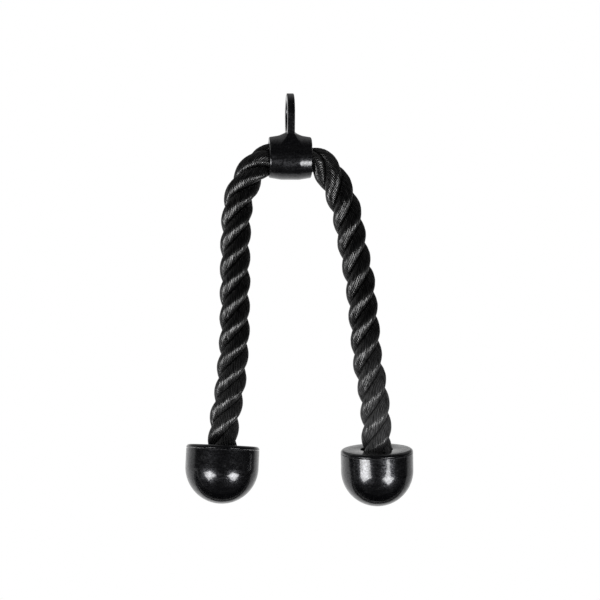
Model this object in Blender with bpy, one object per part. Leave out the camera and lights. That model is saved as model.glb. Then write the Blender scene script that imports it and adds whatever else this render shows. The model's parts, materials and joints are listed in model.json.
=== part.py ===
"""Triceps rope attachment: a laid rope drawn through a cast collar, with a domed end cap on each limb.

The collar is one casting, a sleeve that tapers to both ends, with a hanging eye on top. The rope lies in its bore and hangs
out of both mouths as a left and a right limb. Each limb ends in a crimped steel ferrule and a washer, which
hold a two-piece cap of a cup and a lid. The cap turns on the limb.

Metres, +Z up. The origin is the hang point, the inner top of the eye's hole. The collar's bore runs along X.
"""

import math

import bmesh
import bpy
from mathutils import Matrix, Vector

# Clearances: the gap that touching pieces keep, and the overrun of every cut
FIT_GAP = 0.0003
CUT_OVERRUN = 0.0040

# Rope
ROPE_DIAMETER = 0.0280
ROPE_SIDE_RESOLUTION = 4

# Collar sleeve, turned about the bore's axis
COLLAR_LENGTH = 0.0390
COLLAR_WALL = 0.0046
COLLAR_TAPER = 0.0017
COLLAR_MIDDLE_SHARE = 0.42
COLLAR_LIP_ROUNDING = 0.0009
BORE_PLAY = 0.0019
BORE_FLARE = 0.0012
BORE_FLARE_LENGTH = 0.0080

# Hanging eye, a plate across the bore that stands on the sleeve
EYE_THICKNESS = 0.0068
EYE_HOLE_WIDTH = 0.0250
EYE_HOLE_STRAIGHT = 0.0025
EYE_CROWN = 0.0075
EYE_CHEEK = 0.0070
EYE_BRIDGE = 0.0034
EYE_EDGE_ROUNDING = 0.0012
EYE_WAIST_TAPER = 0.0024
EYE_FOOT_REACH = 0.0078
EYE_FOOT_WIDTH_SHARE = 0.78
EYE_FOOT_SLOPE_SHARE = 0.55
EYE_FOOT_DROP = 0.0002
EYE_FOOT_SINK = 0.0020
EYE_FOOT_INSET = 0.0001

# End cap: a lid on a cup that closes in a half sphere
CAP_DIAMETER = 0.0670
CAP_SIDE_HEIGHT = 0.0196
LID_THICKNESS = 0.0031
LID_RIM_ROUNDING = 0.0028
LID_HOLE_ROUNDING = 0.0008
LID_HOLE_PLAY = 0.0011
SPIGOT_DEPTH = 0.0035
CUP_EDGE_ROUNDING = 0.0005
POCKET_ROOM = 0.0013
POCKET_SPARE_DEPTH = 0.0030

# Steel on the rope's end
WASHER_THICKNESS = 0.0025
WASHER_EDGE_BREAK = 0.0004
FERRULE_LENGTH = 0.0220
FERRULE_WALL = 0.0028
FERRULE_GROOVE_DEPTH = 0.0010
FERRULE_GROOVE_WIDTH = 0.0030
FERRULE_GROOVE_PLACE_SHARES = (0.30, 0.70)
ROPE_END_STAND_OUT = 0.0015

# Faceting, and the distance at which a turned mesh's end points join
CAP_STEPS = 40
STEEL_STEPS = 32
COLLAR_STEPS = 48
BORE_FLARE_STEPS = 6
EYE_FOOT_LEVELS = 7
JOIN_DISTANCE = 0.00002

# Rope routes: offsets from the rope's middle in the bore, in metres, from that middle to the top of each cap
LEFT_ROUTE = (
    (0.0000, 0.0000, 0.0000),
    (-0.0080, 0.0000, 0.0000),
    (-0.0150, 0.0000, 0.0006),
    (-0.0200, 0.0000, 0.0007),
    (-0.0256, 0.0000, -0.0018),
    (-0.0323, 0.0000, -0.0083),
    (-0.0367, 0.0000, -0.0142),
    (-0.0421, 0.0000, -0.0245),
    (-0.0461, 0.0000, -0.0345),
    (-0.0485, 0.0000, -0.0470),
    (-0.0501, 0.0000, -0.0788),
    (-0.0505, 0.0000, -0.1028),
    (-0.0506, 0.0000, -0.1294),
    (-0.0508, 0.0000, -0.1524),
    (-0.0518, 0.0000, -0.1754),
    (-0.0538, 0.0000, -0.1984),
    (-0.0564, 0.0000, -0.2190),
    (-0.0603, -0.0006, -0.2406),
    (-0.0616, -0.0026, -0.2625),
)
RIGHT_ROUTE = (
    (0.0000, 0.0000, 0.0000),
    (0.0080, 0.0000, 0.0000),
    (0.0150, 0.0000, 0.0003),
    (0.0210, 0.0000, -0.0001),
    (0.0264, 0.0000, -0.0019),
    (0.0313, 0.0000, -0.0060),
    (0.0353, 0.0000, -0.0110),
    (0.0397, 0.0000, -0.0176),
    (0.0451, 0.0000, -0.0284),
    (0.0521, 0.0000, -0.0476),
    (0.0564, 0.0000, -0.0696),
    (0.0608, 0.0000, -0.0926),
    (0.0647, 0.0000, -0.1129),
    (0.0676, 0.0000, -0.1386),
    (0.0696, 0.0000, -0.1616),
    (0.0718, 0.0000, -0.1846),
    (0.0757, 0.0000, -0.2068),
    (0.0779, 0.0000, -0.2214),
    (0.0799, 0.0006, -0.2433),
    (0.0807, 0.0026, -0.2672),
)
SPREAD_PIVOT_INDEX = 6
ROUTE_STEPS_PER_POINT = 6
ROOT_TUBE_STEPS = 6
BEND_DIAMETERS = 4
RUN_SPACING_DIAMETERS = 2
BALL_ANGLES = (80, 60, 40, 20)

rope_radius = ROPE_DIAMETER / 2
bend_clearance = 3 * FIT_GAP
eye_hole_height = EYE_HOLE_WIDTH + EYE_HOLE_STRAIGHT
bore_radius = rope_radius + BORE_PLAY
collar_radius = bore_radius + COLLAR_WALL
collar_half_length = COLLAR_LENGTH / 2
collar_half_middle = collar_half_length * COLLAR_MIDDLE_SHARE
eye_foot_half_width = collar_radius * EYE_FOOT_WIDTH_SHARE
bore_axis_z = -(eye_hole_height + EYE_BRIDGE + collar_radius)
rope_middle = Vector((0.0, 0.0, bore_axis_z - BORE_PLAY + FIT_GAP))
cap_radius = CAP_DIAMETER / 2
lid_hole_radius = rope_radius + LID_HOLE_PLAY
ferrule_bore_radius = rope_radius + FIT_GAP
ferrule_radius = ferrule_bore_radius + FERRULE_WALL
pocket_radius = ferrule_radius + POCKET_ROOM
spigot_bottom = -(LID_THICKNESS + SPIGOT_DEPTH)
washer_top = spigot_bottom - FIT_GAP
ferrule_top = washer_top - WASHER_THICKNESS - FIT_GAP
rope_end_depth = FERRULE_LENGTH + ROPE_END_STAND_OUT - ferrule_top


def clear_scene():
    for item in list(bpy.data.objects):
        bpy.data.objects.remove(item, do_unlink=True)


def make_material(name, colour, roughness, metallic):
    material = bpy.data.materials.new(name)
    material.use_nodes = True
    shader = material.node_tree.nodes["Principled BSDF"]
    shader.inputs["Base Color"].default_value = (*colour, 1.0)
    shader.inputs["Roughness"].default_value = roughness
    shader.inputs["Metallic"].default_value = metallic
    return material


def add_object(name, data, material, parent=None, place=None):
    item = bpy.data.objects.new(name, data)
    bpy.context.scene.collection.objects.link(item)
    if material is not None:
        data.materials.append(material)
    item.parent = parent
    if place is not None:
        item.location = place
    return item


def add_axis(name, place, parent=None, direction=None):
    """An empty on a joint's axis. Its local -Z looks along direction where one is given."""
    axis = bpy.data.objects.new(name, None)
    bpy.context.scene.collection.objects.link(axis)
    axis.parent = parent
    axis.location = place
    if direction is not None:
        axis.rotation_mode = "QUATERNION"
        axis.rotation_quaternion = direction.to_track_quat("-Z", "Y")
    return axis


def mark_as_guide(item):
    item.hide_render = True
    item.display_type = "WIRE"


def arc(centre, radii, start, stop, steps):
    """Points of an ellipse's arc, in degrees from the first coordinate's direction."""
    points = []
    for step in range(steps + 1):
        angle = math.radians(start + (stop - start) * step / steps)
        points.append((centre[0] + radii[0] * math.cos(angle), centre[1] + radii[1] * math.sin(angle)))
    return points


def turned_mesh(name, outline, steps, along_x=False):
    """Spins a closed outline of (radius, height) points about Z, or about X with height along X."""
    mesh_maker = bmesh.new()
    ring = [mesh_maker.verts.new((radius, 0.0, height)) for radius, height in outline]
    edges = [mesh_maker.edges.new(pair) for pair in zip(ring, ring[1:])]
    if outline[0][0] > 0.0 or outline[-1][0] > 0.0:
        edges.append(mesh_maker.edges.new((ring[-1], ring[0])))
    bmesh.ops.spin(
        mesh_maker, geom=ring + edges, axis=(0, 0, 1), cent=(0, 0, 0),
        angle=math.tau, steps=steps, use_merge=True,
    )
    bmesh.ops.remove_doubles(mesh_maker, verts=mesh_maker.verts, dist=JOIN_DISTANCE)
    bmesh.ops.recalc_face_normals(mesh_maker, faces=mesh_maker.faces)
    if along_x:
        bmesh.ops.rotate(
            mesh_maker, verts=mesh_maker.verts, cent=(0, 0, 0), matrix=Matrix.Rotation(math.pi / 2, 3, "Y"),
        )
    mesh = bpy.data.meshes.new(name)
    mesh_maker.to_mesh(mesh)
    mesh_maker.free()
    mesh.shade_smooth()
    mesh.set_sharp_from_angle(angle=math.radians(35))
    return mesh


def sleeve_radius(place):
    """Outer radius of the sleeve at a place along the bore: even in the middle, tapered towards both ends."""
    past_middle = max(abs(place) - collar_half_middle, 0.0)
    return collar_radius - COLLAR_TAPER * past_middle / (collar_half_length - collar_half_middle)


def sleeve_outline():
    """Solid sleeve with rounded end edges, before the bore is cut."""
    end_radius = sleeve_radius(collar_half_length) - COLLAR_LIP_ROUNDING
    end_place = collar_half_length - COLLAR_LIP_ROUNDING
    rounding = (COLLAR_LIP_ROUNDING, COLLAR_LIP_ROUNDING)
    outline = [(0.0, -collar_half_length)]
    outline += arc((end_radius, -end_place), rounding, -90, 0, 4)
    outline += [(collar_radius, -collar_half_middle), (collar_radius, collar_half_middle)]
    outline += arc((end_radius, end_place), rounding, 0, 90, 4)
    outline.append((0.0, collar_half_length))
    return outline


def bore_outline():
    """Cutter for the bore: straight in the middle, and opening like a bell at both mouths."""
    straight = collar_half_length - BORE_FLARE_LENGTH
    curve_radius = (BORE_FLARE_LENGTH ** 2 + BORE_FLARE ** 2) / (2 * BORE_FLARE)
    reach = BORE_FLARE_LENGTH + COLLAR_LIP_ROUNDING
    mouth = []
    for step in range(BORE_FLARE_STEPS + 1):
        along = reach * step / BORE_FLARE_STEPS
        rise = curve_radius - math.sqrt(curve_radius ** 2 - along ** 2)
        mouth.append((bore_radius + rise, straight + along))
    cutter_end = collar_half_length + CUT_OVERRUN
    mouth += [(mouth[-1][0], cutter_end), (0.0, cutter_end)]
    return [(radius, -place) for radius, place in reversed(mouth)] + mouth


def eye_plate_mesh():
    """Flat plate of the eye in the YZ plane, with an oval hole and rounded edges."""
    half_width = EYE_HOLE_WIDTH / 2 + EYE_CHEEK
    centre_z = -EYE_HOLE_WIDTH / 2
    bottom_z = -(eye_hole_height + EYE_BRIDGE)
    outer = arc((0.0, centre_z), (half_width, EYE_HOLE_WIDTH / 2 + EYE_CROWN), 0, 180, 28)
    outer += [(-half_width + EYE_WAIST_TAPER, bottom_z), (half_width - EYE_WAIST_TAPER, bottom_z)]
    mesh_maker = bmesh.new()
    verts = [mesh_maker.verts.new((-EYE_THICKNESS / 2, y, z)) for y, z in outer]
    face = mesh_maker.faces.new(verts)
    pushed = bmesh.ops.extrude_face_region(mesh_maker, geom=[face])
    moved = [item for item in pushed["geom"] if isinstance(item, bmesh.types.BMVert)]
    bmesh.ops.translate(mesh_maker, verts=moved, vec=(EYE_THICKNESS, 0, 0))
    bmesh.ops.recalc_face_normals(mesh_maker, faces=mesh_maker.faces)
    mesh = bpy.data.meshes.new("eye_plate")
    mesh_maker.to_mesh(mesh)
    mesh_maker.free()
    return mesh


def eye_hole_mesh():
    """Cutter for the eye's oval hole."""
    radius = EYE_HOLE_WIDTH / 2
    upper = arc((0.0, -radius), (radius, radius), 0, 180, 20)
    lower = arc((0.0, radius - eye_hole_height), (radius, radius), 180, 360, 20)
    mesh_maker = bmesh.new()
    half = EYE_THICKNESS / 2 + CUT_OVERRUN
    verts = [mesh_maker.verts.new((-half, y, z)) for y, z in upper + lower]
    face = mesh_maker.faces.new(verts)
    pushed = bmesh.ops.extrude_face_region(mesh_maker, geom=[face])
    moved = [item for item in pushed["geom"] if isinstance(item, bmesh.types.BMVert)]
    bmesh.ops.translate(mesh_maker, verts=moved, vec=(2 * half, 0, 0))
    bmesh.ops.recalc_face_normals(mesh_maker, faces=mesh_maker.faces)
    mesh = bpy.data.meshes.new("eye_hole")
    mesh_maker.to_mesh(mesh)
    mesh_maker.free()
    return mesh


def rounded_rectangle(half_x, half_y, rounding, side_steps, corner_steps):
    """Closed loop of (x, y) points, with its long sides cut into steps along Y."""
    inner_x = half_x - rounding
    inner_y = half_y - rounding
    loop = []
    for sign_x, sign_y, start in ((1, 1, 0), (-1, 1, 90), (-1, -1, 180), (1, -1, 270)):
        loop += arc((sign_x * inner_x, sign_y * inner_y), (rounding, rounding), start, start + 90, corner_steps)
        if start in (90, 270):
            for step in range(1, side_steps):
                share = 1 - 2 * step / side_steps
                loop.append((sign_x * half_x, sign_y * inner_y * share))
    return loop


def eye_foot_mesh():
    """Filleted foot that carries the plate down onto the sleeve, as rings from the plate to the sleeve's top."""
    levels = EYE_FOOT_LEVELS
    plate_half_width = EYE_HOLE_WIDTH / 2 + EYE_CHEEK - EYE_WAIST_TAPER
    top_z = -eye_hole_height - EYE_FOOT_DROP
    mesh_maker = bmesh.new()
    rings = []
    for level in range(levels + 2):
        share = min(level / levels, 1.0)
        fillet = 1 - math.sqrt(1 - share ** 2)
        reach = EYE_FOOT_REACH * (share * EYE_FOOT_SLOPE_SHARE + fillet * (1 - EYE_FOOT_SLOPE_SHARE))
        half_x = EYE_THICKNESS / 2 - EYE_FOOT_INSET + reach
        half_y = plate_half_width + (eye_foot_half_width - plate_half_width) * share
        sink = EYE_FOOT_SINK if level > levels else 0.0
        ring = []
        for x, y in rounded_rectangle(half_x, half_y, EYE_EDGE_ROUNDING, 10, 3):
            seat_y = y * eye_foot_half_width / half_y
            seat_z = bore_axis_z + math.sqrt(sleeve_radius(x) ** 2 - seat_y ** 2)
            ring.append(mesh_maker.verts.new((x, y, top_z + (seat_z - top_z) * share - sink)))
        rings.append(ring)
    for upper, lower in zip(rings, rings[1:]):
        count = len(upper)
        for index in range(count):
            following = (index + 1) % count
            mesh_maker.faces.new((upper[index], lower[index], lower[following], upper[following]))
    mesh_maker.faces.new(rings[0])
    mesh_maker.faces.new(list(reversed(rings[-1])))
    bmesh.ops.recalc_face_normals(mesh_maker, faces=mesh_maker.faces)
    mesh = bpy.data.meshes.new("eye_foot")
    mesh_maker.to_mesh(mesh)
    mesh_maker.free()
    return mesh


def add_boolean(item, other, operation):
    step = item.modifiers.new(f"{operation.lower()}_{other.name}", "BOOLEAN")
    step.operation = operation
    step.object = other
    step.solver = "EXACT"


def build_collar(material):
    """One casting: sleeve, foot and eye joined, then bored."""
    bore_place = (0.0, 0.0, bore_axis_z)
    collar_mesh = turned_mesh("collar_casting", sleeve_outline(), COLLAR_STEPS, along_x=True)
    collar = add_object("collar_casting", collar_mesh, material, place=bore_place)
    plate = add_object("eye_plate_guide", eye_plate_mesh(), None)
    hole = add_object("eye_hole_cutter", eye_hole_mesh(), None)
    foot = add_object("eye_foot_guide", eye_foot_mesh(), None)
    bore = add_object("bore_cutter", turned_mesh("bore", bore_outline(), COLLAR_STEPS, along_x=True), None,
                      place=bore_place)
    for guide in (plate, hole, foot, bore):
        mark_as_guide(guide)
    add_boolean(plate, hole, "DIFFERENCE")
    rounding = plate.modifiers.new("rounded_edges", "BEVEL")
    rounding.width = EYE_EDGE_ROUNDING
    rounding.segments = 3
    rounding.limit_method = "ANGLE"
    rounding.angle_limit = math.radians(40)
    add_boolean(collar, foot, "UNION")
    add_boolean(collar, plate, "UNION")
    add_boolean(collar, bore, "DIFFERENCE")
    return collar


def smooth_route(points):
    """Catmull-Rom curve through a route's points, as a list of places."""
    knots = [Vector(point) for point in points]
    first = knots[0] * 2 - knots[1]
    last = knots[-1] * 2 - knots[-2]
    padded = [first] + knots + [last]
    curve = []
    for index in range(len(knots) - 1):
        before, start, stop, after = padded[index:index + 4]
        for step in range(ROUTE_STEPS_PER_POINT):
            share = step / ROUTE_STEPS_PER_POINT
            curve.append(0.5 * (
                2 * start
                + (stop - before) * share
                + (2 * before - 5 * start + 4 * stop - after) * share ** 2
                + (3 * start - before - 3 * stop + after) * share ** 3
            ))
    curve.append(knots[-1])
    return curve


def travel_along(curve):
    """Distance from the first point to each point of a curve."""
    distances = [0.0]
    for one, other in zip(curve, curve[1:]):
        distances.append(distances[-1] + (other - one).length)
    return distances


def point_at(curve, distances, wanted):
    """Place and direction at a distance along a curve."""
    index = 0
    while index < len(curve) - 2 and distances[index + 1] < wanted:
        index += 1
    share = (wanted - distances[index]) / (distances[index + 1] - distances[index])
    step = curve[index + 1] - curve[index]
    return curve[index] + step * share, step.normalized()


def travel_clear_of_ball(curve, distances, pivot, pivot_travel):
    """Last distance at which a face square to the curve stays clear of a ball of the rope's radius at the pivot."""
    travel = pivot_travel - rope_radius
    while True:
        place, direction = point_at(curve, distances, travel)
        if (pivot - place).dot(direction) > rope_radius + bend_clearance:
            return travel
        travel -= FIT_GAP


def rope_tube(name, places, radii, material, parent, origin):
    """Plain round tube with filled ends: a poly curve whose points carry their share of the rope's radius."""
    curve = bpy.data.curves.new(name, "CURVE")
    curve.dimensions = "3D"
    curve.bevel_depth = rope_radius
    curve.bevel_resolution = ROPE_SIDE_RESOLUTION
    curve.use_fill_caps = True
    curve.render_resolution_u = 0
    spline = curve.splines.new("POLY")
    spline.points.add(len(places) - 1)
    for point, place, radius in zip(spline.points, places, radii):
        point.co = (*(place - origin), 1.0)
        point.radius = radius
    return add_object(name, curve, material, parent)


def lid_outline():
    rim = cap_radius - LID_RIM_ROUNDING
    spigot_radius = pocket_radius - FIT_GAP
    outline = arc((lid_hole_radius + LID_HOLE_ROUNDING, -LID_HOLE_ROUNDING),
                  (LID_HOLE_ROUNDING, LID_HOLE_ROUNDING), 180, 90, 3)
    outline += arc((rim, -LID_RIM_ROUNDING), (LID_RIM_ROUNDING, LID_RIM_ROUNDING), 90, 0, 6)
    outline += [
        (cap_radius, -LID_THICKNESS),
        (spigot_radius, -LID_THICKNESS),
        (spigot_radius, spigot_bottom),
        (lid_hole_radius, spigot_bottom),
    ]
    return outline


def cup_outline():
    top = -LID_THICKNESS - FIT_GAP
    pocket_bottom = -rope_end_depth - POCKET_SPARE_DEPTH
    edge = cap_radius - CUP_EDGE_ROUNDING
    outline = [(0.0, pocket_bottom), (pocket_radius, pocket_bottom), (pocket_radius, top)]
    outline += arc((edge, top - CUP_EDGE_ROUNDING), (CUP_EDGE_ROUNDING, CUP_EDGE_ROUNDING), 90, 0, 3)
    outline += arc((0.0, -CAP_SIDE_HEIGHT), (cap_radius, cap_radius), 0, -90, 14)
    outline[-1] = (0.0, -CAP_SIDE_HEIGHT - cap_radius)
    return outline


def washer_outline():
    inner = ferrule_bore_radius
    outer = pocket_radius - FIT_GAP
    bottom = washer_top - WASHER_THICKNESS
    return [
        (inner, washer_top),
        (outer - WASHER_EDGE_BREAK, washer_top),
        (outer, washer_top - WASHER_EDGE_BREAK),
        (outer, bottom + WASHER_EDGE_BREAK),
        (outer - WASHER_EDGE_BREAK, bottom),
        (inner, bottom),
    ]


def ferrule_outline():
    """Sleeve with two rolled grooves that bite into the rope."""
    bottom = ferrule_top - FERRULE_LENGTH
    half_groove = FERRULE_GROOVE_WIDTH / 2
    outline = [(ferrule_bore_radius, ferrule_top), (ferrule_radius, ferrule_top)]
    for share in FERRULE_GROOVE_PLACE_SHARES:
        middle = ferrule_top - FERRULE_LENGTH * share
        outline += [
            (ferrule_radius, middle + half_groove),
            (ferrule_radius - FERRULE_GROOVE_DEPTH, middle),
            (ferrule_radius, middle - half_groove),
        ]
    outline += [(ferrule_radius, bottom), (ferrule_bore_radius, bottom)]
    return outline


def limb_travels(start, stop):
    """Distances along a limb's tube: half a diameter apart round the bend, then two diameters."""
    close_end = start + BEND_DIAMETERS * ROPE_DIAMETER
    travels = []
    travel = start
    while travel < close_end:
        travels.append(travel)
        travel += rope_radius
    steps = max(1, round((stop - close_end) / (RUN_SPACING_DIAMETERS * ROPE_DIAMETER)))
    travels += [close_end + (stop - close_end) * step / steps for step in range(steps)]
    return travels


def build_limb(side, route, materials):
    """One side of the rope with its joint axes, its steel end and its cap."""
    curve = [rope_middle + point for point in smooth_route(route)]
    distances = travel_along(curve)
    pivot_index = SPREAD_PIVOT_INDEX * ROUTE_STEPS_PER_POINT
    pivot = curve[pivot_index]
    pivot_travel = distances[pivot_index]
    total = distances[-1]
    lid_top, end_direction = point_at(curve, distances, total)

    swing_axis = add_axis(f"{side}_swing_axis", rope_middle)
    spread_axis = add_axis(f"{side}_spread_axis", pivot - rope_middle, parent=swing_axis)
    spin_axis = add_axis(f"{side}_spin_axis", lid_top - pivot, parent=spread_axis, direction=end_direction)

    root_start = FIT_GAP / 2
    root_stop = travel_clear_of_ball(curve, distances, pivot, pivot_travel)
    root_places = []
    for step in range(ROOT_TUBE_STEPS + 1):
        travel = root_start + (root_stop - root_start) * step / ROOT_TUBE_STEPS
        root_places.append(point_at(curve, distances, travel)[0])
    rope_tube(f"{side}_rope_root", root_places, [1.0] * len(root_places), materials["rope"], swing_axis,
              rope_middle)

    straight_start = total - ROPE_DIAMETER
    travels = limb_travels(pivot_travel, straight_start)
    places = [point_at(curve, distances, travel)[0] for travel in travels]
    radii = [1.0] * len(places)
    ball_direction = (places[0] - places[1]).normalized()
    ball_places = []
    ball_radii = []
    for angle in BALL_ANGLES:
        ball_places.append(pivot + ball_direction * (rope_radius * math.sin(math.radians(angle))))
        ball_radii.append(math.cos(math.radians(angle)))
    straight_places = [
        lid_top - end_direction * ROPE_DIAMETER,
        lid_top,
        lid_top + end_direction * rope_end_depth,
    ]
    limb_places = ball_places + places + straight_places
    limb_radii = ball_radii + radii + [1.0] * len(straight_places)
    rope_tube(f"{side}_rope_limb", limb_places, limb_radii, materials["rope"], spread_axis, pivot)

    for name, outline, steps, material in (
        ("ferrule", ferrule_outline(), STEEL_STEPS, "steel"),
        ("washer", washer_outline(), STEEL_STEPS, "steel"),
        ("cap_cup", cup_outline(), CAP_STEPS, "cap"),
        ("cap_lid", lid_outline(), CAP_STEPS, "cap"),
    ):
        full_name = f"{side}_{name}"
        add_object(full_name, turned_mesh(full_name, outline, steps), materials[material], spin_axis)

    bpy.context.view_layer.update()
    print(side, "pivot", [round(value, 5) for value in pivot])
    print(side, "lid top", [round(value, 5) for value in lid_top])
    print(side, "cap axis", [round(value, 5) for value in end_direction])
    print(side, "free rope from mouth to lid", round(total - collar_half_length, 4))


def main():
    clear_scene()
    materials = {
        "collar": make_material("collar_black_enamel", (0.010, 0.010, 0.012), 0.22, 0.0),
        "rope": make_material("rope_black_fibre", (0.014, 0.014, 0.015), 0.55, 0.0),
        "cap": make_material("cap_black_gloss", (0.009, 0.009, 0.010), 0.15, 0.0),
        "steel": make_material("zinc_plated_steel", (0.560, 0.560, 0.540), 0.35, 1.0),
    }
    build_collar(materials["collar"])
    build_limb("left", LEFT_ROUTE, materials)
    build_limb("right", RIGHT_ROUTE, materials)


main()
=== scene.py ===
# %% [markdown]
# A rope attachment for a pulley machine, dressed over its imported model. The model gives every place, size and
# joint. This script gives the looks: the rope's lay and yarns, the enamel of the collar, the gloss of the end
# caps, and the white studio round them. The frame is loaded first, and its box is kept to print beside the
# finished one.

# %% Load the frame
import json
import math

import bmesh
import bpy
import numpy as np
from mathutils import Matrix, Vector, noise


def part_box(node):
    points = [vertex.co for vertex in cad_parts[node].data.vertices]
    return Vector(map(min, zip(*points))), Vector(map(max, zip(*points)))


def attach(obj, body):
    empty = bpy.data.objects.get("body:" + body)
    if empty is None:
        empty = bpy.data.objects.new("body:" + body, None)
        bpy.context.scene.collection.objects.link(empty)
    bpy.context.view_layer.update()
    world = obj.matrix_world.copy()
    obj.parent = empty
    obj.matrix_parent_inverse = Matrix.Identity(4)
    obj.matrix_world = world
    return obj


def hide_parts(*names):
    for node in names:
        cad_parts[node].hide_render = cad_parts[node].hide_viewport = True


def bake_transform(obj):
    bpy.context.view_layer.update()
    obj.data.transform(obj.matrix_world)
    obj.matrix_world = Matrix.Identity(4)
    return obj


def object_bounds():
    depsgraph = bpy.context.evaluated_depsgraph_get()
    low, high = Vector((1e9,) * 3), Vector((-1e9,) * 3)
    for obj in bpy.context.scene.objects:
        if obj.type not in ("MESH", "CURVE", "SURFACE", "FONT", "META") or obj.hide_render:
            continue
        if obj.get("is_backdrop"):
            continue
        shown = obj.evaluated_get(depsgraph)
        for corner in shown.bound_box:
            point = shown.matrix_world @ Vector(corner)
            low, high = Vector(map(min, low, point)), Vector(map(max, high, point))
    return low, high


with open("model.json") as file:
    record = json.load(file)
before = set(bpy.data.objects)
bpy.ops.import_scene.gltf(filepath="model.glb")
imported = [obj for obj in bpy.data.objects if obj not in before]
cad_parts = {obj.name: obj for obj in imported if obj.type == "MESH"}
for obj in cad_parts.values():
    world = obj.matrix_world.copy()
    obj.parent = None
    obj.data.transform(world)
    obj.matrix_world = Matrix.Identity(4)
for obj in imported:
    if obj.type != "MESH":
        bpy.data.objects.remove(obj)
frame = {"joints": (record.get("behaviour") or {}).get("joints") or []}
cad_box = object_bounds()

JOINTS = {joint["name"]: joint for joint in frame["joints"]}
scene = bpy.context.scene
scene.view_settings.view_transform = "Standard"

# %% [markdown]
# The camera comes first, because it decides how fine the surfaces have to be. The photograph was taken from
# far away with a long lens, level with the middle of the object and a little to its left, so that the eye's
# plate shows its left face. Distance and field of view are real sizes, and the lens follows from them.

# %% Camera
IMAGE_WIDTH_PX = 600
METRES_PER_PX = 0.00092
EYE_COLUMN_PX = 289.9
HANG_ROW_PX = 101.7
CAMERA_DISTANCE = 1.60
CAMERA_AZIMUTH = -4.5
SENSOR_WIDTH_MM = 36.0


def add_camera():
    middle = IMAGE_WIDTH_PX / 2
    target = Vector(((middle - EYE_COLUMN_PX) * METRES_PER_PX, 0.0, (HANG_ROW_PX - middle) * METRES_PER_PX))
    turn = math.radians(CAMERA_AZIMUTH)
    back = Vector((math.sin(turn), -math.cos(turn), 0.0))
    data = bpy.data.cameras.new("studio_camera")
    data.sensor_width = SENSOR_WIDTH_MM
    data.lens = SENSOR_WIDTH_MM * CAMERA_DISTANCE / (IMAGE_WIDTH_PX * METRES_PER_PX)
    camera = bpy.data.objects.new("studio_camera", data)
    camera.location = target + back * CAMERA_DISTANCE
    camera.rotation_euler = back.to_track_quat("Z", "Y").to_euler()
    scene.collection.objects.link(camera)
    scene.camera = camera
    return camera


camera = add_camera()
print("camera at", tuple(round(value, 3) for value in camera.location), "lens", round(camera.data.lens, 1))

# %% [markdown]
# Every piece is put into the scene the same way: a mesh whose place is in its vertices, shaded smooth, with
# its material, the body that it rides on and the node that it stands for. One helper does this, so nothing is
# forgotten.

# %% Put a piece in the scene
MERGE_DISTANCE = 0.000002


def add_piece(name, mesh, material, body, stands_for):
    piece = bpy.data.objects.new(name, mesh)
    scene.collection.objects.link(piece)
    mesh.materials.clear()
    mesh.materials.append(material)
    if body:
        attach(piece, body)
    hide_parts(*stands_for)
    triangles = sum(len(face.vertices) - 2 for face in mesh.polygons)
    print(name, triangles, "triangles")
    return piece


def mesh_from(name, maker):
    """Turns a bmesh into a mesh and frees it."""
    mesh = bpy.data.meshes.new(name)
    maker.to_mesh(mesh)
    maker.free()
    mesh.shade_smooth()
    return mesh


print("points closer than", MERGE_DISTANCE * 1000, "mm are merged")

# %% [markdown]
# The rope is the main thing to see: three thick strands laid right-handed, like the stroke of a Z, each spun
# from dozens of fine yarns. It could be three twisted curves with a round bevel, but round tubes cut through
# one another and carry no yarns. Here each strand is a grid rolled into a tube, so its outline can be pressed
# flat where the strands touch and ridged where each yarn lies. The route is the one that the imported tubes
# follow. Its points are offsets from the rope's middle in the bore.

# %% Rope route
ROPE_MIDDLE = Vector((0.0, 0.0, JOINTS["left_swing"]["pos_m"][2]))
ROPE_END_PAST_LID = 0.0335
HALVES_GAP = 0.0003
ROUTE_STEPS = 24
LEFT_ROUTE = (
    (0.0000, 0.0000, 0.0000),
    (-0.0080, 0.0000, 0.0000),
    (-0.0150, 0.0000, 0.0006),
    (-0.0200, 0.0000, 0.0007),
    (-0.0256, 0.0000, -0.0018),
    (-0.0323, 0.0000, -0.0083),
    (-0.0367, 0.0000, -0.0142),
    (-0.0421, 0.0000, -0.0245),
    (-0.0461, 0.0000, -0.0345),
    (-0.0485, 0.0000, -0.0470),
    (-0.0501, 0.0000, -0.0788),
    (-0.0505, 0.0000, -0.1028),
    (-0.0506, 0.0000, -0.1294),
    (-0.0508, 0.0000, -0.1524),
    (-0.0518, 0.0000, -0.1754),
    (-0.0538, 0.0000, -0.1984),
    (-0.0564, 0.0000, -0.2190),
    (-0.0603, -0.0006, -0.2406),
    (-0.0616, -0.0026, -0.2625),
)
RIGHT_ROUTE = (
    (0.0000, 0.0000, 0.0000),
    (0.0080, 0.0000, 0.0000),
    (0.0150, 0.0000, 0.0003),
    (0.0210, 0.0000, -0.0001),
    (0.0264, 0.0000, -0.0019),
    (0.0313, 0.0000, -0.0060),
    (0.0353, 0.0000, -0.0110),
    (0.0397, 0.0000, -0.0176),
    (0.0451, 0.0000, -0.0284),
    (0.0521, 0.0000, -0.0476),
    (0.0564, 0.0000, -0.0696),
    (0.0608, 0.0000, -0.0926),
    (0.0647, 0.0000, -0.1129),
    (0.0676, 0.0000, -0.1386),
    (0.0696, 0.0000, -0.1616),
    (0.0718, 0.0000, -0.1846),
    (0.0757, 0.0000, -0.2068),
    (0.0779, 0.0000, -0.2214),
    (0.0799, 0.0006, -0.2433),
    (0.0807, 0.0026, -0.2672),
)
ROUTES = {"left": LEFT_ROUTE, "right": RIGHT_ROUTE}


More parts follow.
